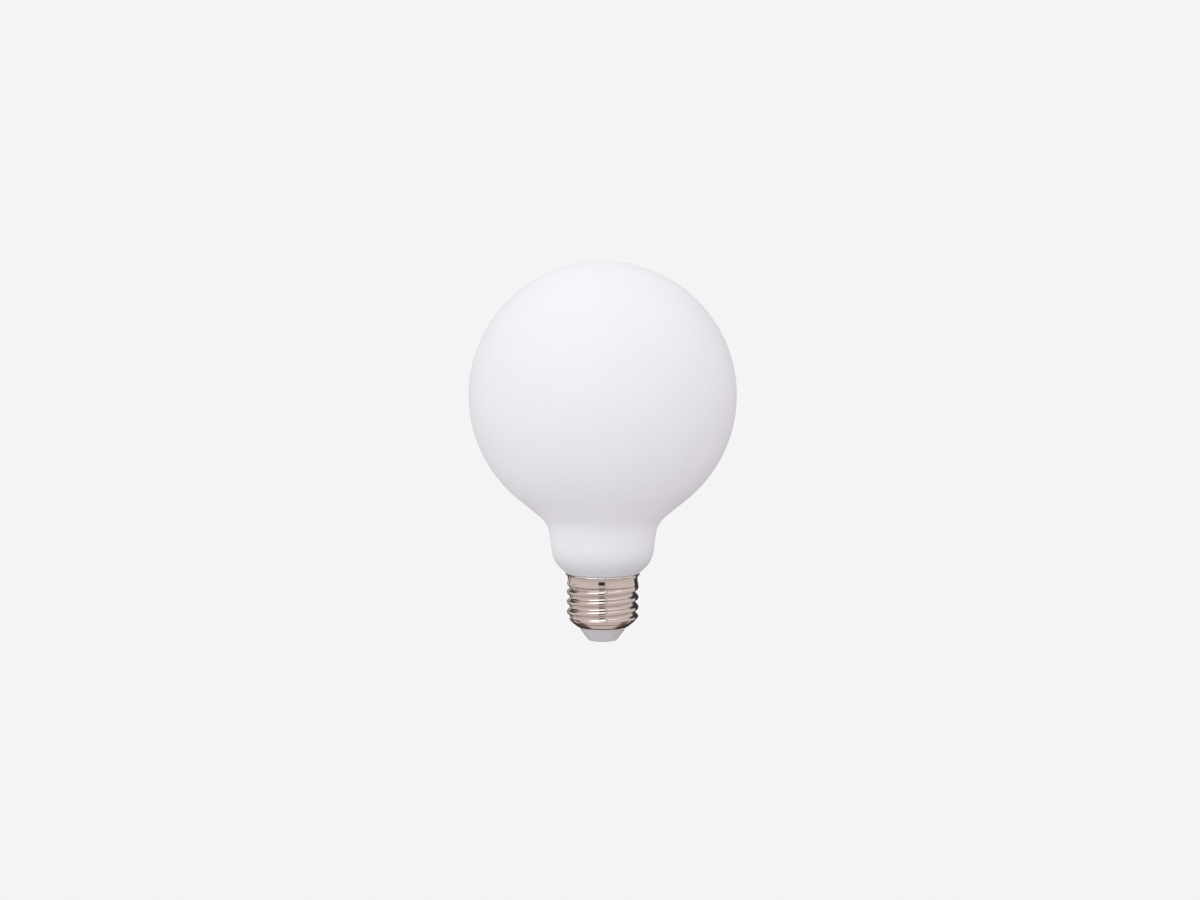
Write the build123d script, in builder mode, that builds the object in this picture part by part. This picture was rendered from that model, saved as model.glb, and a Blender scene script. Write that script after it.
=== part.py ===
from build123d import *
import os
from math import acos, atan2, ceil, cos, degrees, floor, hypot, pi, radians, sin, sqrt, tan

# LED globe bulb: a blown opal glass envelope cemented into a rolled screw shell, with a moulded
# insulator and a nail contact at the foot. Millimetres. The origin is the flat end of the contact
# on the bulb's axis, and +Z runs up the axis to the crown of the globe.

# Whole bulb
overall_length = 138.2
globe_diameter = 97.0

# Glass envelope: stem heights and blends are shares of the rise from the shell's rim to the bowl
glass_wall = 0.8
neck_top_radius = 19.93
neck_top_share = 0.895
neck_foot_radius = 17.95
neck_foot_share = 0.21
flank_blend_share = 0.5
shoulder_blend_share = 0.468
plug_blend = 0.8
cement_gap = 0.1

# Screw shell: sheet rolled to the outline below, with the thread pressed into it
sheet = 0.3
rim_height = 24.9
rim_rise = 2.5
rim_spread = 0.72
waist_inset = 0.22
waist_drop = 2.0
collar_depth = 0.1
cone_height = 8.75
cone_angle = 49.5
cone_blend = 2.0
lip_radius = 8.52
lip_depth = 0.1
lip_blend = 0.2

# Thread: equal arcs for crest and root, right hand, one crest at crest_height on the +X side
thread_radius = 13.05
thread_pitch = 3.629
thread_arc = 1.025
crest_height = 12.66
band_depth = 0.7
cone_bite = 0.45
groove_runout = 1.1
strips_per_pitch = 8
points_per_turn = 36

# Insulator
insulator_sleeve = 0.83
insulator_angle = 37.6
insulator_corner = 0.8
flange_radius = 10.0
flange_edge = 0.8
fit_gap = 0.05

# Centre contact
contact_radius = 3.5
contact_head = 1.0
contact_proud = 0.3
contact_edge = 0.35
shank_radius = 1.2
shank_tail = 0.8

# Sizes that follow from the values above
globe_radius = globe_diameter / 2
globe_centre = overall_length - globe_radius
stem_rise = globe_centre - sqrt(globe_radius**2 - neck_top_radius**2) - rim_height
thread_depth = 2 * thread_arc - sqrt((2 * thread_arc) ** 2 - (thread_pitch / 2) ** 2)
thread_bore = thread_radius - thread_depth - sheet
waist_height = rim_height - rim_rise
waist_radius = thread_radius - waist_inset
band_height = waist_height - waist_drop
seat_height = waist_height - collar_depth
groove_top = waist_height - band_depth
groove_bottom = cone_height - cone_bite
collar_bore = waist_radius - sheet
plug_radius = collar_bore - cement_gap
rim_flare = (rim_rise**2 + rim_spread**2) / (2 * rim_spread)
rim_bore = waist_radius + rim_flare - sqrt((rim_flare + sheet) ** 2 - rim_rise**2)
cone_slope = tan(radians(cone_angle))
lip_corner = cone_height - (thread_radius - lip_radius) / cone_slope
lip_height = lip_corner - lip_depth
inner_cone_height = cone_height + sheet / sin(radians(cone_angle))
lip_bore = thread_radius - (inner_cone_height - lip_height) * cone_slope


def tangent_angle(radius, height):
    """Angle in degrees from straight down, where a line from a point below the globe touches it."""
    drop = globe_centre - height
    return degrees(atan2(radius, drop) + acos(globe_radius / hypot(radius, drop)))


def height_on_line(start, end, radius):
    """Height where the line through two profile points reaches a radius."""
    return start[1] + (end[1] - start[1]) * (radius - start[0]) / (end[0] - start[0])


def ease(share):
    """Smooth step from 0 to 1."""
    held = min(max(share, 0.0), 1.0)
    return held * held * (3 - 2 * held)


def groove_depth(angle, height):
    """Depth of the thread groove at an angle in degrees and a height."""
    turn = angle / 360
    turns_up = floor((height - crest_height) / thread_pitch - turn)
    centre = crest_height + thread_pitch * (turns_up + 0.5 + turn)
    off_centre = abs(height - centre)
    if off_centre < thread_pitch / 4:
        depth = thread_depth - thread_arc + sqrt(thread_arc**2 - off_centre**2)
    else:
        depth = thread_arc - sqrt(thread_arc**2 - (thread_pitch / 2 - off_centre) ** 2)
    top_share = ease((groove_top - centre) / groove_runout)
    foot_share = ease((centre - groove_bottom) / groove_runout)
    return depth * top_share * foot_share


def plain_radius(height):
    """Outer radius of the shell before threading: lip, cone, thread land, waisted band, flared rim."""
    lip_tangent = lip_blend * tan(radians(cone_angle / 2))
    knee_tangent = cone_blend * tan(radians(cone_angle / 2))
    lip_start = lip_corner - lip_tangent
    lip_end = lip_corner + lip_tangent * cos(radians(cone_angle))
    knee_start = cone_height - knee_tangent * cos(radians(cone_angle))
    knee_end = cone_height + knee_tangent
    if height <= lip_start:
        return lip_radius
    if height <= lip_end:
        return lip_radius + lip_blend - sqrt(lip_blend**2 - (height - lip_start) ** 2)
    if height <= knee_start:
        return thread_radius + (height - cone_height) * cone_slope
    if height <= knee_end:
        return thread_radius - cone_blend + sqrt(cone_blend**2 - (knee_end - height) ** 2)
    if height <= band_height:
        return thread_radius
    if height <= waist_height:
        share = (height - band_height) / (waist_height - band_height)
        return thread_radius + (waist_radius - thread_radius) * (1 - cos(pi * share)) / 2
    return waist_radius + rim_flare - sqrt(rim_flare**2 - (height - waist_height) ** 2)


def shell_section(height):
    """Closed curve of the threaded shell at one height."""
    points = []
    for step in range(points_per_turn):
        angle = 360 * step / points_per_turn
        radius = plain_radius(height) - groove_depth(angle, height)
        points.append((radius * cos(radians(angle)), radius * sin(radians(angle))))
    knots = [float(step) for step in range(points_per_turn + 1)]
    return Edge.make_spline(points, periodic=True, parameters=knots)


def spread(low, high, longest):
    """Even heights from low up to, but not including, high, no further apart than longest."""
    count = ceil((high - low) / longest)
    return [low + (high - low) * step / count for step in range(count)]


# Glass envelope: globe, flank tangent to it, tapered neck, shoulder, and the open plug inside the shell
neck_top = (neck_top_radius, rim_height + neck_top_share * stem_rise)
neck_foot = (neck_foot_radius, rim_height + neck_foot_share * stem_rise)
flank_turn = tangent_angle(*neck_top)
shoulder_foot = (plug_radius, height_on_line(neck_foot, (rim_bore - cement_gap, rim_height), plug_radius))

with BuildPart() as globe:
    with BuildSketch(Plane.XZ):
        with BuildLine():
            bowl = CenterArc((0, globe_centre), globe_radius, flank_turn - 90, 180 - flank_turn)
            stem = FilletPolyline(
                bowl @ 0,
                neck_top,
                neck_foot,
                shoulder_foot,
                (plug_radius, seat_height),
                radius=[flank_blend_share * stem_rise, shoulder_blend_share * stem_rise, plug_blend],
            )
            Polyline(stem @ 1, (0, seat_height), bowl @ 1)
        make_face()
    revolve(axis=Axis.Z)
    offset(amount=-glass_wall, openings=globe.faces().sort_by(Axis.Z)[0])
globe.part.label = "globe"

# Screw shell: strips lofted between level sections of the threaded outline, then bored out
strip = thread_pitch / strips_per_pitch
thread_low = groove_bottom - thread_pitch / 4
thread_high = min(groove_top + thread_pitch / 4, waist_height)
lip_high = lip_corner + lip_blend
shell_levels = (
    spread(lip_height, lip_high, lip_blend / 2)
    + spread(lip_high, thread_low, thread_pitch)
    + spread(thread_low, thread_high, strip)
    + spread(thread_high, waist_height, 2 * strip)
    + spread(waist_height, rim_height, rim_rise / 4)
    + [rim_height]
)
inner_cone_top = (thread_bore, inner_cone_height - (thread_radius - thread_bore) / cone_slope)

with BuildPart() as screw_shell:
    for level in shell_levels:
        with BuildSketch(Plane.XY.offset(level)):
            with BuildLine():
                add(shell_section(level))
            make_face()
    loft(ruled=True)
    with BuildSketch(Plane.XZ):
        with BuildLine():
            bore = Polyline(
                (0, rim_height),
                (0, lip_height),
                (lip_bore, lip_height),
                inner_cone_top,
                (thread_bore, seat_height),
                (collar_bore, seat_height),
                (collar_bore, waist_height),
            )
            flare = RadiusArc(bore @ 1, (rim_bore, rim_height), rim_flare + sheet)
            Line(flare @ 1, bore @ 0)
        make_face()
    revolve(axis=Axis.Z, mode=Mode.SUBTRACT)
screw_shell.part.label = "screw_shell"

# Insulator: exposed cone, a sleeve that goes up through the shell's lip, and a flange held inside the cone
sleeve_radius = lip_bore - fit_gap
skirt_height = lip_height - insulator_sleeve
insulator_base = sleeve_radius - (skirt_height - contact_proud) * tan(radians(insulator_angle))
flange_seat = inner_cone_height + fit_gap / sin(radians(cone_angle))
flange_foot = flange_seat - (thread_radius - sleeve_radius) / cone_slope
flange_low = flange_seat - (thread_radius - flange_radius) / cone_slope
flange_top = flange_low + flange_edge

with BuildPart() as insulator:
    with BuildSketch(Plane.XZ):
        with BuildLine():
            skirt = FilletPolyline(
                (0, contact_proud),
                (insulator_base, contact_proud),
                (sleeve_radius, skirt_height),
                radius=insulator_corner,
            )
            Polyline(
                skirt @ 1,
                (sleeve_radius, flange_foot),
                (flange_radius, flange_low),
                (flange_radius, flange_top),
                (0, flange_top),
                skirt @ 0,
            )
        make_face()
    revolve(axis=Axis.Z)
    with BuildSketch(Plane.XY.offset(contact_proud)):
        Circle(contact_radius + fit_gap)
    extrude(amount=contact_head - contact_proud, mode=Mode.SUBTRACT)
    with BuildSketch(Plane.XY.offset(contact_head)):
        Circle(shank_radius + fit_gap)
    extrude(amount=flange_top - contact_head, mode=Mode.SUBTRACT)
insulator.part.label = "insulator"

# Centre contact: a nail whose head sits in the insulator and stands a little proud of it
with BuildPart() as centre_contact:
    with BuildSketch(Plane.XY):
        Circle(contact_radius)
    extrude(amount=contact_head)
    chamfer(centre_contact.edges().group_by(Axis.Z)[0], length=contact_edge)
    with BuildSketch(Plane.XY.offset(contact_head)):
        Circle(shank_radius)
    extrude(amount=flange_top + shank_tail - contact_head)
centre_contact.part.label = "centre_contact"

os.makedirs("parts", exist_ok=True)
for piece in (globe, screw_shell, insulator, centre_contact):
    export_step(piece.part, f"parts/{piece.part.label}.step")
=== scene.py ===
"""Looks of an opal globe light bulb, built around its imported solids. All lengths are in metres."""

import logging
import math
from bisect import bisect_left
from dataclasses import dataclass
from enum import Enum

import bpy
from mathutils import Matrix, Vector

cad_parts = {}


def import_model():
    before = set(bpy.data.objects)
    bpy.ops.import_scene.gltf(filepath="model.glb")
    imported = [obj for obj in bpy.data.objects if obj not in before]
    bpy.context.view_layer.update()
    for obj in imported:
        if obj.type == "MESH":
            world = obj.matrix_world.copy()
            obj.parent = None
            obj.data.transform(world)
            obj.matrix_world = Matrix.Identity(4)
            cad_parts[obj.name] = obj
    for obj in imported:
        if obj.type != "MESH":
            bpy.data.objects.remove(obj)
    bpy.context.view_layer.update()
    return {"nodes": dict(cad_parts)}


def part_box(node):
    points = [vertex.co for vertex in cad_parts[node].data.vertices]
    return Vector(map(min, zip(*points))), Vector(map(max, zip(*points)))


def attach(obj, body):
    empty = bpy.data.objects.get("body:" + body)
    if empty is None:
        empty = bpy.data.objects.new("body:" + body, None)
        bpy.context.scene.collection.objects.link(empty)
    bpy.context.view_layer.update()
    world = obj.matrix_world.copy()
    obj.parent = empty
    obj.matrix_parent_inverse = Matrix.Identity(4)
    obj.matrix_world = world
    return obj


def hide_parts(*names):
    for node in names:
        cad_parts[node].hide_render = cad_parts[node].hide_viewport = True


log = logging.getLogger("bulb")

MM = 0.001
FULL_TURN = 2 * math.pi
UP = (0.0, 0.0, 1.0)

Point = tuple[float, float]
Triple = tuple[float, float, float]
Colour = tuple[float, float, float]
Socket = bpy.types.NodeSocket


class Slot(Enum):
    """Material slots of the record."""

    GLASS = "opal_glass"
    PLATE = "nickel_plate"
    PLASTIC = "insulator_plastic"
    CONTACT = "contact_metal"


class Bench:
    """Modelling moves shared by the turned pieces."""

    merge_gap: float = 0.0005 * MM
    smooth_angle: float = math.radians(35)

    @staticmethod
    def arc(centre: Point, radius: float, start: float, end: float, steps: int) -> list[Point]:
        """Points on an arc in the radius and height plane.

        Args:
            centre: Centre of the arc as radius and height.
            radius: Radius of the arc.
            start: First angle in radians, counted from straight outwards to straight up.
            end: Last angle in radians.
            steps: Number of equal steps.

        Returns:
            The points from start to end, both included.
        """
        angles = [start + (end - start) * step / steps for step in range(steps + 1)]
        return [(centre[0] + radius * math.cos(a), centre[1] + radius * math.sin(a)) for a in angles]

    @staticmethod
    def blend(before: Point, corner: Point, after: Point, radius: float, steps: int) -> list[Point]:
        """Points on the round that blends the corner between two straight runs.

        Args:
            before: A point on the run into the corner.
            corner: The sharp corner.
            after: A point on the run out of the corner.
            radius: Radius of the round.
            steps: Number of equal steps.

        Returns:
            The points of the round, with both tangent points.
        """
        into = (Vector(corner) - Vector(before)).normalized()
        out = (Vector(after) - Vector(corner)).normalized()
        turn = into.angle_signed(out) * -1
        side = math.copysign(1.0, turn)
        start = Vector(corner) - into * radius * math.tan(abs(turn) / 2)
        centre = start + Vector((-into.y, into.x)) * radius * side
        first = math.atan2(start.y - centre.y, start.x - centre.x)
        return Bench.arc(tuple(centre), radius, first, first + turn, steps)

    @staticmethod
    def turned(name: str, outline: list[Point], steps: int) -> bpy.types.Object:
        """Draws an outline point by point and spins it round the axis.

        Args:
            name: Name of the new piece.
            outline: Points as radius and height, in order.
            steps: Number of spin steps in a full turn.

        Returns:
            The turned piece, with its normals outwards.
        """
        bpy.ops.object.select_all(action="DESELECT")
        bpy.ops.mesh.primitive_plane_add(size=MM)
        piece = bpy.context.object
        piece.name = name
        piece.data.name = name
        bpy.ops.object.mode_set(mode="EDIT")
        bpy.ops.mesh.merge(type="CENTER")
        bpy.ops.transform.translate(value=(outline[0][0], 0.0, outline[0][1]))
        for last, here in zip(outline, outline[1:]):
            step = (here[0] - last[0], 0.0, here[1] - last[1])
            bpy.ops.mesh.extrude_vertices_move(TRANSFORM_OT_translate={"value": step})
        bpy.ops.mesh.select_all(action="SELECT")
        bpy.ops.mesh.spin(steps=steps, angle=FULL_TURN, center=(0.0, 0.0, 0.0), axis=UP)
        bpy.ops.mesh.select_all(action="SELECT")
        bpy.ops.mesh.remove_doubles(threshold=Bench.merge_gap)
        bpy.ops.mesh.normals_make_consistent(inside=False)
        bpy.ops.object.mode_set(mode="OBJECT")
        return piece

    @staticmethod
    def smooth(piece: bpy.types.Object) -> None:
        """Shades a piece smooth, with its sharp edges kept."""
        bpy.ops.object.select_all(action="DESELECT")
        piece.select_set(True)
        bpy.context.view_layer.objects.active = piece
        bpy.ops.object.shade_smooth_by_angle(angle=Bench.smooth_angle)

    @staticmethod
    def dress(piece: bpy.types.Object, material: bpy.types.Material) -> None:
        """Gives a piece one material all over."""
        piece.data.materials.clear()
        piece.data.materials.append(material)


class Nodes:
    """A material's node tree, with the few moves that the finishes share."""

    noise_low: float = 0.3
    noise_high: float = 0.7

    def __init__(self, name: str) -> None:
        """Starts a material with one shader.

        Args:
            name: Name of the material.
        """
        self.material = bpy.data.materials.new(name)
        self.material.use_nodes = True
        self.tree = self.material.node_tree
        self.shader = self.tree.nodes["Principled BSDF"]
        self.place = self.tree.nodes.new("ShaderNodeTexCoord")

    def noise(self, stretch: Triple, detail: float, roughness: float) -> Socket:
        """Noise on Object coordinates.

        Args:
            stretch: Cells per metre along each axis.
            detail: Octaves of the noise.
            roughness: Share of the finer octaves.

        Returns:
            The noise's value socket.
        """
        mapping = self.tree.nodes.new("ShaderNodeMapping")
        mapping.inputs["Scale"].default_value = stretch
        noise = self.tree.nodes.new("ShaderNodeTexNoise")
        noise.inputs["Scale"].default_value = 1.0
        noise.inputs["Detail"].default_value = detail
        noise.inputs["Roughness"].default_value = roughness
        self.tree.links.new(self.place.outputs["Object"], mapping.inputs["Vector"])
        self.tree.links.new(mapping.outputs["Vector"], noise.inputs["Vector"])
        return noise.outputs["Fac"]

    def tint(self, share: Socket, low: Colour, high: Colour) -> Socket:
        """Runs between two colours.

        Args:
            share: Socket that drives the run.
            low: Colour where the share is low.
            high: Colour where the share is high.

        Returns:
            The colour socket.
        """
        ramp = self.tree.nodes.new("ShaderNodeValToRGB")
        ramp.color_ramp.elements[0].position = self.noise_low
        ramp.color_ramp.elements[1].position = self.noise_high
        ramp.color_ramp.elements[0].color = (*low, 1.0)
        ramp.color_ramp.elements[1].color = (*high, 1.0)
        self.tree.links.new(share, ramp.inputs["Fac"])
        return ramp.outputs["Color"]

    def span(self, share: Socket, low: float, high: float) -> Socket:
        """Maps a socket's middle range to a range of values.

        Args:
            share: Socket that drives the value.
            low: Value where the share is low.
            high: Value where the share is high.

        Returns:
            The value socket.
        """
        mapped = self.tree.nodes.new("ShaderNodeMapRange")
        mapped.inputs["From Min"].default_value = self.noise_low
        mapped.inputs["From Max"].default_value = self.noise_high
        mapped.inputs["To Min"].default_value = low
        mapped.inputs["To Max"].default_value = high
        self.tree.links.new(share, mapped.inputs["Value"])
        return mapped.outputs["Result"]

    def bump(self, height: Socket, rise: float, under: Socket | None = None) -> Socket:
        """Raises a surface by a socket's value.

        Args:
            height: Socket with the height, from 0 to 1.
            rise: Real height of the relief.
            under: Normal of a coarser relief below this one.

        Returns:
            The normal socket.
        """
        bump = self.tree.nodes.new("ShaderNodeBump")
        bump.inputs["Strength"].default_value = 1.0
        bump.inputs["Distance"].default_value = rise
        self.tree.links.new(height, bump.inputs["Height"])
        if under is not None:
            self.tree.links.new(under, bump.inputs["Normal"])
        return bump.outputs["Normal"]

    def ring(self, colour: Socket, height: float, half: float, tone: Colour) -> Socket:
        """Multiplies a colour by a tone in a level ring round the axis.

        Args:
            colour: Socket with the colour so far.
            height: Height of the ring's middle.
            half: Half the ring's height.
            tone: Tone that multiplies the colour.

        Returns:
            The colour socket with the ring in it.
        """
        near = self.tree.nodes.new("ShaderNodeMath")
        near.operation = "COMPARE"
        near.inputs[1].default_value = height
        near.inputs[2].default_value = half
        self.tree.links.new(self.height(), near.inputs[0])
        return self.multiply(colour, near.outputs["Value"], tone)

    def rise(self, colour: Socket, low: float, high: float, tone: Colour) -> Socket:
        """Multiplies a colour by a tone at the foot of a piece, and less and less above it.

        Args:
            colour: Socket with the colour so far.
            low: Height up to which the tone is whole.
            high: Height from which there is none of it.
            tone: Tone that multiplies the colour.

        Returns:
            The colour socket with the tone in it.
        """
        fade = self.tree.nodes.new("ShaderNodeMapRange")
        fade.interpolation_type = "SMOOTHSTEP"
        fade.inputs["From Min"].default_value = high
        fade.inputs["From Max"].default_value = low
        self.tree.links.new(self.height(), fade.inputs["Value"])
        return self.multiply(colour, fade.outputs["Result"], tone)

    def height(self) -> Socket:
        """Height in Object coordinates."""
        apart = self.tree.nodes.new("ShaderNodeSeparateXYZ")
        self.tree.links.new(self.place.outputs["Object"], apart.inputs["Vector"])
        return apart.outputs["Z"]

    def multiply(self, colour: Socket, share: Socket, tone: Colour) -> Socket:
        """Multiplies a colour by a tone as far as a share says.

        Args:
            colour: Socket with the colour so far.
            share: Socket with the share, from 0 to 1.
            tone: Tone that multiplies the colour.

        Returns:
            The new colour socket.
        """
        mix = self.tree.nodes.new("ShaderNodeMix")
        mix.data_type = "RGBA"
        mix.blend_type = "MULTIPLY"
        mix.inputs["B"].default_value = (*tone, 1.0)
        self.tree.links.new(share, mix.inputs["Factor"])
        self.tree.links.new(colour, mix.inputs["A"])
        return mix.outputs["Result"]

    def feed(self, socket: Socket, name: str) -> None:
        """Links a socket to one of the shader's inputs by its name."""
        self.tree.links.new(socket, self.shader.inputs[name])


@dataclass(frozen=True)
class OpalCoat:
    """White opal coat on blown glass: matt, faintly uneven and finely grained, with painted shade towards
    the rim and a painted contact shadow at the rim.
    """

    rim_height: float
    light: Colour = (0.872, 0.852, 0.887)
    dark: Colour = (0.858, 0.838, 0.873)
    mottle_cells: float = 45.0
    grain_cells: float = 5200.0
    grain_rise: float = 0.004 * MM
    matt: float = 0.62
    satin: float = 0.54
    gloss: float = 0.25
    # Painted shade: the coat is darkened towards the rim, where the cap shades the glass
    rim_shade_tone: Colour = (0.82, 0.83, 0.83)
    rim_shade_whole_rise: float = 2.5 * MM
    rim_shade_end_rise: float = 12.0 * MM
    # Painted contact shadow: a thin dark ring on the glass just above the shell's rim
    rim_contact_shadow_rise: float = 0.12 * MM
    rim_contact_shadow_tone: Colour = (0.7, 0.7, 0.64)

    def material(self) -> bpy.types.Material:
        """Builds the coat's material."""
        nodes = Nodes("opal_coat")
        mottle = nodes.noise((self.mottle_cells,) * 3, detail=4.0, roughness=0.55)
        grain = nodes.noise((self.grain_cells,) * 3, detail=2.0, roughness=0.5)
        low = self.rim_height + self.rim_shade_whole_rise
        high = self.rim_height + self.rim_shade_end_rise
        # Painted shade: darker towards the rim, fading out higher up the neck
        colour = nodes.rise(nodes.tint(mottle, self.dark, self.light), low, high, self.rim_shade_tone)
        # Painted contact shadow in a thin ring just above the rim
        colour = nodes.ring(colour, self.rim_height + self.rim_contact_shadow_rise, self.rim_contact_shadow_rise, self.rim_contact_shadow_tone)
        nodes.feed(colour, "Base Color")
        nodes.feed(nodes.span(mottle, self.satin, self.matt), "Roughness")
        nodes.feed(nodes.bump(grain, self.grain_rise), "Normal")
        nodes.shader.inputs["Specular IOR Level"].default_value = self.gloss
        return nodes.material


@dataclass(frozen=True)
class PaintedRing:
    """A level ring of another tone round the shell, such as painted shade in a fold or a painted
    highlight.
    """

    height: float
    half: float
    tone: Colour


@dataclass(frozen=True)
class PaintedShellLight:
    """Half heights and tones of the rings of painted shade, painted dark reflection and painted highlight
    round the shell.
    """

    # Painted highlight: brightens the lip above the plate's own colour
    lip_highlight_tone: Colour = (1.2, 1.22, 1.26)
    # Painted shade: a near-black ring in the fold above the insulator
    fold_half: float = 0.25 * MM
    fold_shade_tone: Colour = (0.05, 0.04, 0.035)
    # Painted dark reflection: a thin dark line on the cone
    crease_half: float = 0.13 * MM
    crease_reflection_tone: Colour = (0.35, 0.29, 0.27)
    # Painted dark reflection: a thin dark line low on the band
    band_half: float = 0.15 * MM
    band_reflection_tone: Colour = (0.45, 0.39, 0.37)
    # Painted shade: a darker ring in the crease under the rolled bead
    under_bead_half: float = 0.1 * MM
    under_bead_shade_tone: Colour = (0.66, 0.62, 0.62)
    # Painted reflection: lifts the bead to a bluish white, as if it mirrored the glass
    bead_half: float = 0.2 * MM
    bead_reflection_tone: Colour = (1.25, 1.36, 1.41)


@dataclass(frozen=True)
class RolledNickel:
    """Bright warm nickel on rolled sheet: drawn lines round the axis, dull patches and a slight wobble."""

    painted_rings: tuple[PaintedRing, ...]
    bright: Colour = (0.8, 0.735, 0.71)
    dull: Colour = (0.74, 0.67, 0.64)
    patch_cells: float = 260.0
    line_cells: Triple = (40.0, 40.0, 9000.0)
    wobble_cells: Triple = (220.0, 220.0, 300.0)
    wobble_rise: float = 0.02 * MM
    line_rise: float = 0.0006 * MM
    polished: float = 0.025
    rubbed: float = 0.06

    def material(self) -> bpy.types.Material:
        """Builds the plate's material."""
        nodes = Nodes("rolled_nickel")
        patch = nodes.noise((self.patch_cells,) * 3, detail=5.0, roughness=0.6)
        line = nodes.noise(self.line_cells, detail=3.0, roughness=0.6)
        wobble = nodes.noise(self.wobble_cells, detail=2.0, roughness=0.4)
        colour = nodes.tint(patch, self.dull, self.bright)
        # Painted light: each ring multiplies the plate's colour to paint shade, dark reflections or
        # highlights
        for painted_ring in self.painted_rings:
            colour = nodes.ring(colour, painted_ring.height, painted_ring.half, painted_ring.tone)
        nodes.feed(colour, "Base Color")
        nodes.feed(nodes.span(patch, self.rubbed, self.polished), "Roughness")
        waved = nodes.bump(wobble, self.wobble_rise)
        nodes.feed(nodes.bump(line, self.line_rise, waved), "Normal")
        nodes.shader.inputs["Metallic"].default_value = 1.0
        return nodes.material


@dataclass(frozen=True)
class MouldedInsulator:
    """Satin lavender grey insulator with a fine moulded grain."""

    light: Colour = (0.62, 0.59, 0.62)
    dark: Colour = (0.57, 0.54, 0.57)
    cloud_cells: float = 320.0
    grain_cells: float = 6500.0
    grain_rise: float = 0.006 * MM
    satin: float = 0.38
    matt: float = 0.5
    gloss: float = 0.4

    def material(self) -> bpy.types.Material:
        """Builds the insulator's material."""
        nodes = Nodes("moulded_insulator")
        cloud = nodes.noise((self.cloud_cells,) * 3, detail=4.0, roughness=0.6)
        grain = nodes.noise((self.grain_cells,) * 3, detail=2.0, roughness=0.5)
        nodes.feed(nodes.tint(cloud, self.dark, self.light), "Base Color")
        nodes.feed(nodes.span(cloud, self.satin, self.matt), "Roughness")
        nodes.feed(nodes.bump(grain, self.grain_rise), "Normal")
        nodes.shader.inputs["Specular IOR Level"].default_value = self.gloss
        return nodes.material


@dataclass(frozen=True)
class DullContact:
    """Dull plated nail with scuffs across it and rubbed patches."""

    bright: Colour = (0.66, 0.63, 0.58)
    dull: Colour = (0.48, 0.45, 0.41)
    patch_cells: float = 700.0
    scuff_cells: Triple = (2600.0, 500.0, 2600.0)
    scuff_rise: float = 0.003 * MM
    polished: float = 0.22
    rubbed: float = 0.42

    def material(self) -> bpy.types.Material:
        """Builds the contact's material."""
        nodes = Nodes("dull_contact")
        patch = nodes.noise((self.patch_cells,) * 3, detail=5.0, roughness=0.65)
        scuff = nodes.noise(self.scuff_cells, detail=3.0, roughness=0.6)
        nodes.feed(nodes.tint(patch, self.dull, self.bright), "Base Color")
        nodes.feed(nodes.span(patch, self.rubbed, self.polished), "Roughness")
        nodes.feed(nodes.bump(scuff, self.scuff_rise), "Normal")
        nodes.shader.inputs["Metallic"].default_value = 1.0
        return nodes.material


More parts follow.
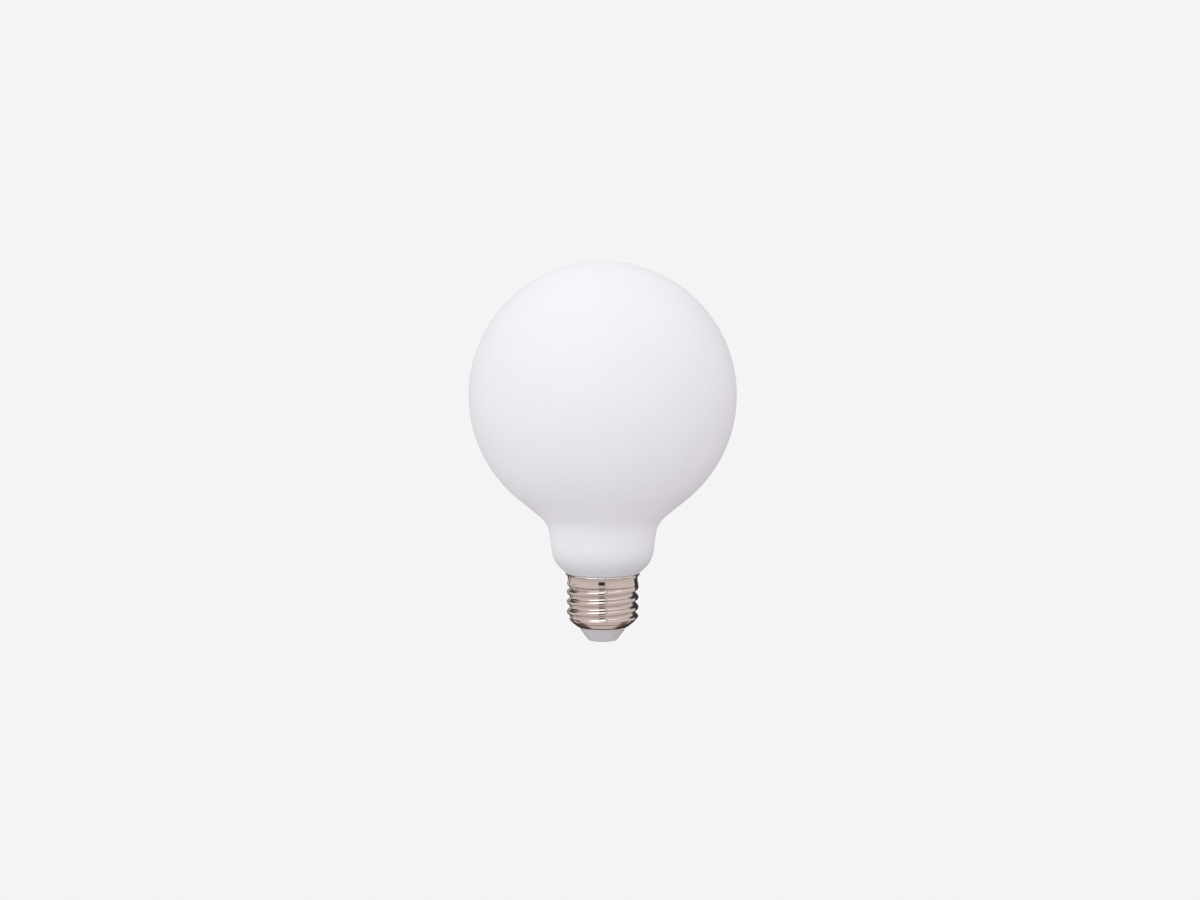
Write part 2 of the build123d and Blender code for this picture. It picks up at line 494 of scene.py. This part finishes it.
@dataclass
class ScrewShell:
    """Rolled sheet shell with its thread pressed in, made from its lip and rim heights."""

    lip_height: float
    rim_height: float
    sheet: float = 0.3 * MM
    thread_radius: float = 13.05 * MM
    thread_pitch: float = 3.629 * MM
    thread_arc: float = 1.025 * MM
    crest_height: float = 12.56 * MM
    band_depth: float = 1.5 * MM
    band_runout: float = 1.6 * MM
    groove_foot: float = 3.05 * MM
    groove_runout: float = 0.75 * MM
    rim_rise: float = 2.25 * MM
    rim_spread: float = 0.88 * MM
    bead_drop: float = 0.62 * MM
    bead_rise: float = 0.44 * MM
    bead_width: float = 0.28 * MM
    bead_round: float = 0.04 * MM
    waist_inset: float = 0.38 * MM
    waist_drop: float = 2.6 * MM
    collar_depth: float = 0.1 * MM
    knee_rise: float = 4.07 * MM
    knee_blend: float = 2.0 * MM
    cone_radius: float = 10.95 * MM
    cone_rise: float = 1.94 * MM
    cone_blend: float = 14.0 * MM
    fold_radius: float = 9.385 * MM
    fold_rise: float = 0.72 * MM
    fold_blend: float = 0.15 * MM
    lip_foot: float = 8.25 * MM
    lip_radius: float = 8.4 * MM
    lip_rise: float = 0.33 * MM
    lip_blend: float = 0.1 * MM
    lip_bore: float = 7.94 * MM
    bore_rise: float = 3.17 * MM
    crease_rise: float = 2.42 * MM
    band_line_drop: float = 2.15 * MM
    painted_light: PaintedShellLight = PaintedShellLight()
    blend_steps: int = 10
    bead_steps: int = 5
    flare_steps: int = 8
    turn_steps: int = 288
    rings_per_pitch: int = 24

    def __post_init__(self) -> None:
        """Works out the sizes that follow from the fields."""
        self.thread_depth = 2 * self.thread_arc - math.sqrt(
            (2 * self.thread_arc) ** 2 - (self.thread_pitch / 2) ** 2
        )
        self.thread_bore = self.thread_radius - self.thread_depth - self.sheet
        self.waist_height = self.rim_height - self.rim_rise
        self.waist_radius = self.thread_radius - self.waist_inset
        self.band_height = self.waist_height - self.waist_drop
        self.seat_height = self.waist_height - self.collar_depth
        self.groove_top = self.waist_height - self.band_depth
        self.collar_bore = self.waist_radius - self.sheet
        self.rim_flare = (self.rim_rise**2 + self.rim_spread**2) / (2 * self.rim_spread)
        self.rim_bore = (
            self.waist_radius + self.rim_flare
            - math.sqrt((self.rim_flare + self.sheet) ** 2 - self.rim_rise**2)
        )
        self.groove_bottom = self.lip_height + self.groove_foot
        self.corners = (
            (self.lip_foot, self.lip_height),
            (self.lip_radius, self.lip_height + self.lip_rise),
            (self.fold_radius, self.lip_height + self.fold_rise),
            (self.cone_radius, self.lip_height + self.cone_rise),
            (self.thread_radius, self.lip_height + self.knee_rise),
            (self.thread_radius, self.band_height),
        )
        self.foot = [self.corners[0]]
        for index, blend in enumerate((self.lip_blend, self.fold_blend, self.cone_blend, self.knee_blend)):
            self.foot += Bench.blend(*self.corners[index : index + 3], blend, self.blend_steps)
        self.foot.append(self.corners[-1])
        self.foot_heights = [height for _, height in self.foot]

    @staticmethod
    def ease(share: float) -> float:
        """Smooth step from 0 to 1."""
        held = min(max(share, 0.0), 1.0)
        return held * held * (3 - 2 * held)

    def groove_depth(self, angle: float, height: float) -> float:
        """Depth of the thread groove.

        Args:
            angle: Angle round the axis from +X, in radians.
            height: Height on the axis.

        Returns:
            The depth below the plain outline.
        """
        turn = (angle % FULL_TURN) / FULL_TURN
        turns_up = math.floor((height - self.crest_height) / self.thread_pitch - turn)
        centre = self.crest_height + self.thread_pitch * (turns_up + 0.5 + turn)
        off_centre = abs(height - centre)
        if off_centre < self.thread_pitch / 4:
            depth = self.thread_depth - self.thread_arc + math.sqrt(self.thread_arc**2 - off_centre**2)
        else:
            depth = self.thread_arc - math.sqrt(
                self.thread_arc**2 - (self.thread_pitch / 2 - off_centre) ** 2
            )
        top_share = self.ease((self.groove_top - height) / self.band_runout)
        foot_share = self.ease((height - self.groove_bottom) / self.groove_runout)
        return depth * top_share * foot_share

    def plain_radius(self, height: float) -> float:
        """Outer radius before threading, from the lip over the cone, land and band to the flared rim."""
        if height <= self.band_height:
            index = max(bisect_left(self.foot_heights, height), 1)
            low, high = self.foot[index - 1], self.foot[index]
            return low[0] + (high[0] - low[0]) * (height - low[1]) / (high[1] - low[1])
        if height <= self.waist_height:
            share = (height - self.band_height) / self.waist_drop
            return self.thread_radius - self.waist_inset * (1 - math.cos(math.pi * share)) / 2
        return self.waist_radius + self.rim_flare - math.sqrt(
            self.rim_flare**2 - (height - self.waist_height) ** 2
        )

    def levels(self) -> list[float]:
        """Heights of the outer rings, closer together where the outline bends."""
        ring = self.thread_pitch / self.rings_per_pitch
        runs = (
            (self.groove_bottom, self.waist_height, ring),
            (self.waist_height, self.rim_height - self.bead_drop, ring / 2),
        )
        heights = [height for height in self.foot_heights if height < self.groove_bottom]
        for low, high, longest in runs:
            count = math.ceil((high - low) / longest)
            heights += [low + (high - low) * step / count for step in range(count)]
        return heights

    def outline(self) -> list[Point]:
        """Closed section of the sheet: up the outside, over the rolled bead and down the bore."""
        bead_height = self.rim_height - self.bead_drop
        outside = [(self.plain_radius(height), height) for height in (*self.levels(), bead_height)]
        rim_radius = self.waist_radius + self.rim_spread
        bead_edge = (rim_radius, self.rim_height - self.bead_rise)
        bead_top = (rim_radius - self.bead_width, self.rim_height)
        rim_in = (self.rim_bore, self.rim_height)
        bead = Bench.blend(outside[-1], bead_edge, bead_top, self.bead_round, self.bead_steps)
        bead += Bench.blend(bead_edge, bead_top, rim_in, self.bead_round, self.bead_steps)
        flare_centre = (self.waist_radius + self.rim_flare, self.waist_height)
        flare_radius = self.rim_flare + self.sheet
        flare_turn = math.pi - math.asin(self.rim_rise / flare_radius)
        flare = Bench.arc(flare_centre, flare_radius, flare_turn, math.pi, self.flare_steps)
        inside = [
            (self.collar_bore, self.seat_height),
            (self.thread_bore, self.seat_height),
            (self.thread_bore, self.lip_height + self.bore_rise),
            (self.lip_bore, self.lip_height),
        ]
        return outside + bead + flare + inside + outside[:1]

    def press_thread(self, piece: bpy.types.Object) -> None:
        """Moves the outer skin of the plain shell in by the depth of the groove.

        Args:
            piece: The plain turned shell.
        """
        for vertex in piece.data.vertices:
            x, y, height = vertex.co
            radius = math.hypot(x, y)
            if radius < self.plain_radius(height) - Bench.merge_gap or height > self.groove_top:
                continue
            share = 1 - self.groove_depth(math.atan2(y, x), height) / radius
            vertex.co.x = x * share
            vertex.co.y = y * share
        piece.data.update()

    def painted_rings(self) -> tuple[PaintedRing, ...]:
        """Rings of painted shade, painted dark reflection and painted highlight, from the lip up to the
        rolled bead.
        """
        painted_light = self.painted_light
        # Painted lip highlight, fold shade, crease and band dark reflections, shade under the bead and
        # bead reflection
        return (
            PaintedRing(self.lip_height, self.lip_rise, painted_light.lip_highlight_tone),
            PaintedRing(self.lip_height + self.fold_rise, painted_light.fold_half, painted_light.fold_shade_tone),
            PaintedRing(self.lip_height + self.crease_rise, painted_light.crease_half, painted_light.crease_reflection_tone),
            PaintedRing(self.waist_height - self.band_line_drop, painted_light.band_half, painted_light.band_reflection_tone),
            PaintedRing(self.rim_height - self.bead_drop, painted_light.under_bead_half, painted_light.under_bead_shade_tone),
            PaintedRing(self.rim_height - self.bead_rise / 2, painted_light.bead_half, painted_light.bead_reflection_tone),
        )

    def build(self) -> bpy.types.Object:
        """Makes the shell and puts it in the place of its solid."""
        piece = Bench.turned("threaded_shell", self.outline(), self.turn_steps)
        self.press_thread(piece)
        Bench.smooth(piece)
        Bench.dress(piece, RolledNickel(self.painted_rings()).material())
        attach(piece, "root")
        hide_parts("screw_shell")
        return piece


@dataclass
class GlassEnvelope:
    """Blown glass from the crown of the globe down to the plug inside the shell."""

    crown: float
    globe_radius: float
    shell: ScrewShell
    wall: float = 0.8 * MM
    neck_top_radius: float = 19.93 * MM
    neck_top_share: float = 0.895
    neck_foot_radius: float = 17.95 * MM
    neck_foot_share: float = 0.21
    flank_blend_share: float = 0.5
    shoulder_blend_share: float = 0.468
    plug_blend: float = 0.8 * MM
    cement_gap: float = 0.03 * MM
    turn_steps: int = 192
    bowl_steps: int = 96
    blend_steps: int = 16

    def __post_init__(self) -> None:
        """Works out the corners of the stem from the globe and the shell's rim."""
        rim_height = self.shell.rim_height
        self.globe_centre = self.crown - self.globe_radius
        self.stem_rise = (
            self.globe_centre - math.sqrt(self.globe_radius**2 - self.neck_top_radius**2) - rim_height
        )
        self.plug_radius = self.shell.collar_bore - self.cement_gap
        self.neck_top = (self.neck_top_radius, rim_height + self.neck_top_share * self.stem_rise)
        self.neck_foot = (self.neck_foot_radius, rim_height + self.neck_foot_share * self.stem_rise)
        rim = (self.shell.rim_bore - self.cement_gap, rim_height)
        slope = (self.neck_foot[1] - rim[1]) / (self.neck_foot[0] - rim[0])
        self.shoulder_foot = (self.plug_radius, rim[1] + slope * (self.plug_radius - rim[0]))
        self.plug_end = (self.plug_radius, self.shell.seat_height)

    def outline(self) -> list[Point]:
        """Outer line of the glass, from the crown down to the plug's end."""
        drop = self.globe_centre - self.neck_top[1]
        touch = math.atan2(self.neck_top[0], drop) + math.acos(
            self.globe_radius / math.hypot(self.neck_top[0], drop)
        )
        bowl = Bench.arc(
            (0.0, self.globe_centre), self.globe_radius, math.pi / 2, touch - math.pi / 2, self.bowl_steps
        )
        flank_blend = self.flank_blend_share * self.stem_rise
        shoulder_blend = self.shoulder_blend_share * self.stem_rise
        steps = self.blend_steps
        flank = Bench.blend(bowl[-1], self.neck_top, self.neck_foot, flank_blend, steps)
        shoulder = Bench.blend(self.neck_top, self.neck_foot, self.shoulder_foot, shoulder_blend, steps)
        plug = Bench.blend(self.neck_foot, self.shoulder_foot, self.plug_end, self.plug_blend, steps)
        return bowl + flank + shoulder + plug + [self.plug_end]

    def build(self) -> bpy.types.Object:
        """Makes the glass with its wall and puts it in the place of its solid."""
        piece = Bench.turned("glass_envelope", self.outline(), self.turn_steps)
        thickness = piece.modifiers.new("wall", "SOLIDIFY")
        thickness.thickness = self.wall
        thickness.offset = -1.0
        bpy.ops.object.modifier_apply(modifier=thickness.name)
        Bench.smooth(piece)
        Bench.dress(piece, OpalCoat(self.shell.rim_height).material())
        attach(piece, "root")
        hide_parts("globe")
        return piece


@dataclass
class CapFoot:
    """Insulator and centre contact, whose solids already have the finished form."""

    insulator: bpy.types.Object
    contact: bpy.types.Object

    def build(self) -> list[bpy.types.Object]:
        """Dresses both solids."""
        Bench.dress(self.insulator, MouldedInsulator().material())
        Bench.dress(self.contact, DullContact().material())
        return [self.insulator, self.contact]


@dataclass(frozen=True)
class Card:
    """A panel round the bulb that the metal mirrors, placed in degrees as seen from the bulb."""

    azimuth: float
    elevation: float
    half_width: float
    half_height: float
    edge: float
    tone: Colour


class Tent:
    """The surroundings that the metal mirrors: a warm grey tent with dark and bright cards in it."""

    walls: tuple[tuple[float, Colour], ...] = (
        (-90.0, (0.62, 0.54, 0.51)),
        (-66.0, (0.64, 0.56, 0.53)),
        (-48.0, (0.58, 0.505, 0.48)),
        (-18.0, (0.68, 0.6, 0.585)),
        (2.0, (0.72, 0.635, 0.625)),
        (30.0, (0.73, 0.66, 0.65)),
        (70.0, (0.75, 0.69, 0.68)),
    )
    cards: tuple[Card, ...] = (
        Card(180.0, 33.0, 65.0, 9.0, 6.0, (0.06, 0.055, 0.055)),
        Card(180.0, -48.0, 60.0, 9.0, 5.0, (0.18, 0.145, 0.135)),
        Card(180.0, -31.0, 28.0, 21.0, 3.0, (0.05, 0.04, 0.04)),
        Card(180.0, -4.0, 22.0, 12.0, 4.0, (0.1, 0.09, 0.09)),
        Card(147.0, 9.0, 19.0, 29.0, 4.0, (0.05, 0.045, 0.045)),
        Card(-132.0, 26.0, 28.0, 18.0, 8.0, (0.06, 0.055, 0.055)),
        Card(-140.0, -12.0, 5.0, 22.0, 3.0, (0.22, 0.19, 0.19)),
        Card(-26.0, 49.0, 33.0, 23.0, 7.0, (2.0, 2.0, 2.02)),
        Card(38.0, 52.0, 30.0, 24.0, 14.0, (1.05, 1.02, 1.01)),
        Card(11.0, 45.0, 3.5, 30.0, 2.5, (0.5, 0.45, 0.44)),
        Card(-3.0, -8.0, 11.0, 20.0, 3.5, (0.045, 0.035, 0.03)),
    )

    def __init__(self, tree: bpy.types.NodeTree) -> None:
        """Starts from the direction of each ray.

        Args:
            tree: Node tree of the world.
        """
        self.tree = tree
        way = tree.nodes.new("ShaderNodeTexCoord")
        self.way = way.outputs["Generated"]
        apart = tree.nodes.new("ShaderNodeSeparateXYZ")
        tree.links.new(self.way, apart.inputs["Vector"])
        self.elevation = self.maths("ARCSINE", apart.outputs["Z"])

    def maths(self, operation: str, *terms: Socket | float) -> Socket:
        """Works out one operation on sockets and numbers.

        Args:
            operation: Name of the operation.
            terms: Its terms in order.

        Returns:
            The result's socket.
        """
        node = self.tree.nodes.new("ShaderNodeMath")
        node.operation = operation
        for index, term in enumerate(terms):
            if isinstance(term, Socket):
                self.tree.links.new(term, node.inputs[index])
            else:
                node.inputs[index].default_value = term
        return node.outputs["Value"]

    def within(self, angle: Socket, half: float, edge: float) -> Socket:
        """Share of a card along one angle.

        Args:
            angle: Socket with the angle from the card's middle, in radians.
            half: Half size of the card in degrees.
            edge: Half width of its soft edge in degrees.

        Returns:
            The share, from 1 inside to 0 outside.
        """
        fade = self.tree.nodes.new("ShaderNodeMapRange")
        fade.interpolation_type = "SMOOTHSTEP"
        fade.inputs["From Min"].default_value = math.radians(half + edge)
        fade.inputs["From Max"].default_value = math.radians(half - edge)
        self.tree.links.new(self.maths("ABSOLUTE", angle), fade.inputs["Value"])
        return fade.outputs["Result"]

    def wall(self) -> Socket:
        """Colour of the tent by height."""
        ramp = self.tree.nodes.new("ShaderNodeValToRGB")
        stops = ramp.color_ramp.elements
        given = len(stops)
        for index, (elevation, tone) in enumerate(self.walls):
            place = (elevation + 90) / 180
            stop = stops[index] if index < given else stops.new(place)
            stop.position = place
            stop.color = (*tone, 1.0)
        height = self.maths("MULTIPLY_ADD", self.elevation, 1 / math.pi, 0.5)
        self.tree.links.new(height, ramp.inputs["Fac"])
        return ramp.outputs["Color"]

    def hang(self, card: Card, behind: Socket) -> Socket:
        """Hangs a card in front of what is there already.

        Args:
            card: The card.
            behind: Colour socket of what it hides.

        Returns:
            The colour socket with the card in it.
        """
        turn = self.tree.nodes.new("ShaderNodeVectorRotate")
        turn.rotation_type = "Z_AXIS"
        turn.inputs["Angle"].default_value = -math.radians(card.azimuth)
        self.tree.links.new(self.way, turn.inputs["Vector"])
        apart = self.tree.nodes.new("ShaderNodeSeparateXYZ")
        self.tree.links.new(turn.outputs["Vector"], apart.inputs["Vector"])
        ahead = self.maths("MULTIPLY", apart.outputs["Y"], -1.0)
        across = self.within(self.maths("ARCTAN2", apart.outputs["X"], ahead), card.half_width, card.edge)
        rise = self.maths("SUBTRACT", self.elevation, math.radians(card.elevation))
        share = self.maths("MULTIPLY", across, self.within(rise, card.half_height, card.edge))
        mix = self.tree.nodes.new("ShaderNodeMix")
        mix.data_type = "RGBA"
        mix.inputs["B"].default_value = (*card.tone, 1.0)
        self.tree.links.new(share, mix.inputs["Factor"])
        self.tree.links.new(behind, mix.inputs["A"])
        return mix.outputs["Result"]

    def build(self) -> Socket:
        """Puts up the tent with its cards and returns its colour socket."""
        colour = self.wall()
        for card in self.cards:
            colour = self.hang(card, colour)
        return colour


@dataclass
class Studio:
    """Camera, soft light and plain pale ground."""

    camera_place: Triple = (-0.98 * MM, -1100 * MM, 172 * MM)
    aim: Triple = (-0.98 * MM, 0.0, 69.81 * MM)
    lens_mm: float = 91.44
    film_mm: float = 36.0
    ground_drop: float = 0.4
    ground_size: float = 60.0
    backdrop: float = 0.9047
    light_from: Triple = (-0.304, -0.579, 0.592)
    light_high: Colour = (1.2303, 1.266, 1.2777)
    light_low: Colour = (0.5837, 0.532, 0.5523)

    def camera(self) -> None:
        """Sets the camera at the photograph's angle."""
        data = bpy.data.cameras.new("photo_camera")
        data.lens = self.lens_mm
        data.sensor_width = self.film_mm
        camera = bpy.data.objects.new("photo_camera", data)
        bpy.context.scene.collection.objects.link(camera)
        camera.location = self.camera_place
        look = Vector(self.aim) - Vector(self.camera_place)
        camera.rotation_euler = look.to_track_quat("-Z", "Y").to_euler()
        bpy.context.scene.camera = camera

    def ground_tone(self) -> Colour:
        """Colour of a level ground that looks as bright as the backdrop in this light."""
        # A level matt face gathers a third of the light's full span per unit of its upward share
        lift = Vector(self.light_from).normalized().z / 3
        spans = zip(self.light_low, self.light_high)
        return tuple(self.backdrop / ((low + high) / 2 + (high - low) * lift) for low, high in spans)

    def ground(self) -> None:
        """Lays a plain pale ground well below the bulb."""
        bpy.ops.object.select_all(action="DESELECT")
        bpy.ops.mesh.primitive_plane_add(size=self.ground_size, location=(0.0, 0.0, -self.ground_drop))
        ground = bpy.context.object
        ground.name = "pale_ground"
        material = bpy.data.materials.new("pale_ground")
        material.use_nodes = True
        shader = material.node_tree.nodes["Principled BSDF"]
        shader.inputs["Base Color"].default_value = (*self.ground_tone(), 1.0)
        shader.inputs["Roughness"].default_value = 1.0
        shader.inputs["Specular IOR Level"].default_value = 0.0
        Bench.dress(ground, material)
        ground.visible_diffuse = False
        ground.visible_glossy = False

    def sky(self, tree: bpy.types.NodeTree) -> Socket:
        """Soft light that grows towards the front and top.

        Args:
            tree: Node tree of the world.

        Returns:
            The light's colour socket.
        """
        way = tree.nodes.new("ShaderNodeTexCoord")
        along = tree.nodes.new("ShaderNodeVectorMath")
        along.operation = "DOT_PRODUCT"
        along.inputs[1].default_value = Vector(self.light_from).normalized()
        tree.links.new(way.outputs["Generated"], along.inputs[0])
        share = tree.nodes.new("ShaderNodeMapRange")
        share.inputs["From Min"].default_value = -1.0
        tree.links.new(along.outputs["Value"], share.inputs["Value"])
        tone = tree.nodes.new("ShaderNodeMix")
        tone.data_type = "RGBA"
        tone.inputs["A"].default_value = (*self.light_low, 1.0)
        tone.inputs["B"].default_value = (*self.light_high, 1.0)
        tree.links.new(share.outputs["Result"], tone.inputs["Factor"])
        return tone.outputs["Result"]

    def light(self) -> None:
        """Wraps the bulb in soft light, with the tent for mirrored rays and a plain backdrop to see."""
        world = bpy.data.worlds.new("soft_studio")
        world.use_nodes = True
        tree = world.node_tree
        ray = tree.nodes.new("ShaderNodeLightPath")
        surface = tree.nodes["Background"]
        tree.links.new(self.sky(tree), surface.inputs["Color"])
        surface = surface.outputs["Background"]
        plain = tree.nodes.new("ShaderNodeRGB")
        plain.outputs["Color"].default_value = (self.backdrop, self.backdrop, self.backdrop, 1.0)
        views = (("Is Glossy Ray", Tent(tree).build()), ("Is Camera Ray", plain.outputs["Color"]))
        for rays, colour in views:
            view = tree.nodes.new("ShaderNodeBackground")
            seen = tree.nodes.new("ShaderNodeMixShader")
            tree.links.new(colour, view.inputs["Color"])
            tree.links.new(ray.outputs[rays], seen.inputs["Fac"])
            tree.links.new(surface, seen.inputs[1])
            tree.links.new(view.outputs["Background"], seen.inputs[2])
            surface = seen.outputs["Shader"]
        tree.links.new(surface, tree.nodes["World Output"].inputs["Surface"])
        bpy.context.scene.world = world
        bpy.context.scene.view_settings.view_transform = "Standard"

    def build(self) -> None:
        """Sets up the whole studio."""
        self.camera()
        self.ground()
        self.light()


def main() -> None:
    """Builds the bulb around its solids, logs each piece's face count and sets the studio."""
    logging.basicConfig(level=logging.INFO, format="%(message)s")
    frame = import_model()
    shell_low, shell_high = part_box("screw_shell")
    globe_low, globe_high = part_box("globe")
    shell = ScrewShell(lip_height=shell_low.z, rim_height=shell_high.z)
    globe_radius = min(globe_high.x - globe_low.x, globe_high.y - globe_low.y) / 2
    glass = GlassEnvelope(crown=globe_high.z, globe_radius=globe_radius, shell=shell)
    foot = CapFoot(frame["nodes"]["insulator"], frame["nodes"]["centre_contact"])
    for piece in (shell.build(), glass.build(), *foot.build()):
        log.info("%s: %d faces", piece.name, len(piece.data.polygons))
    Studio().build()


if __name__ == "__main__":
    main()
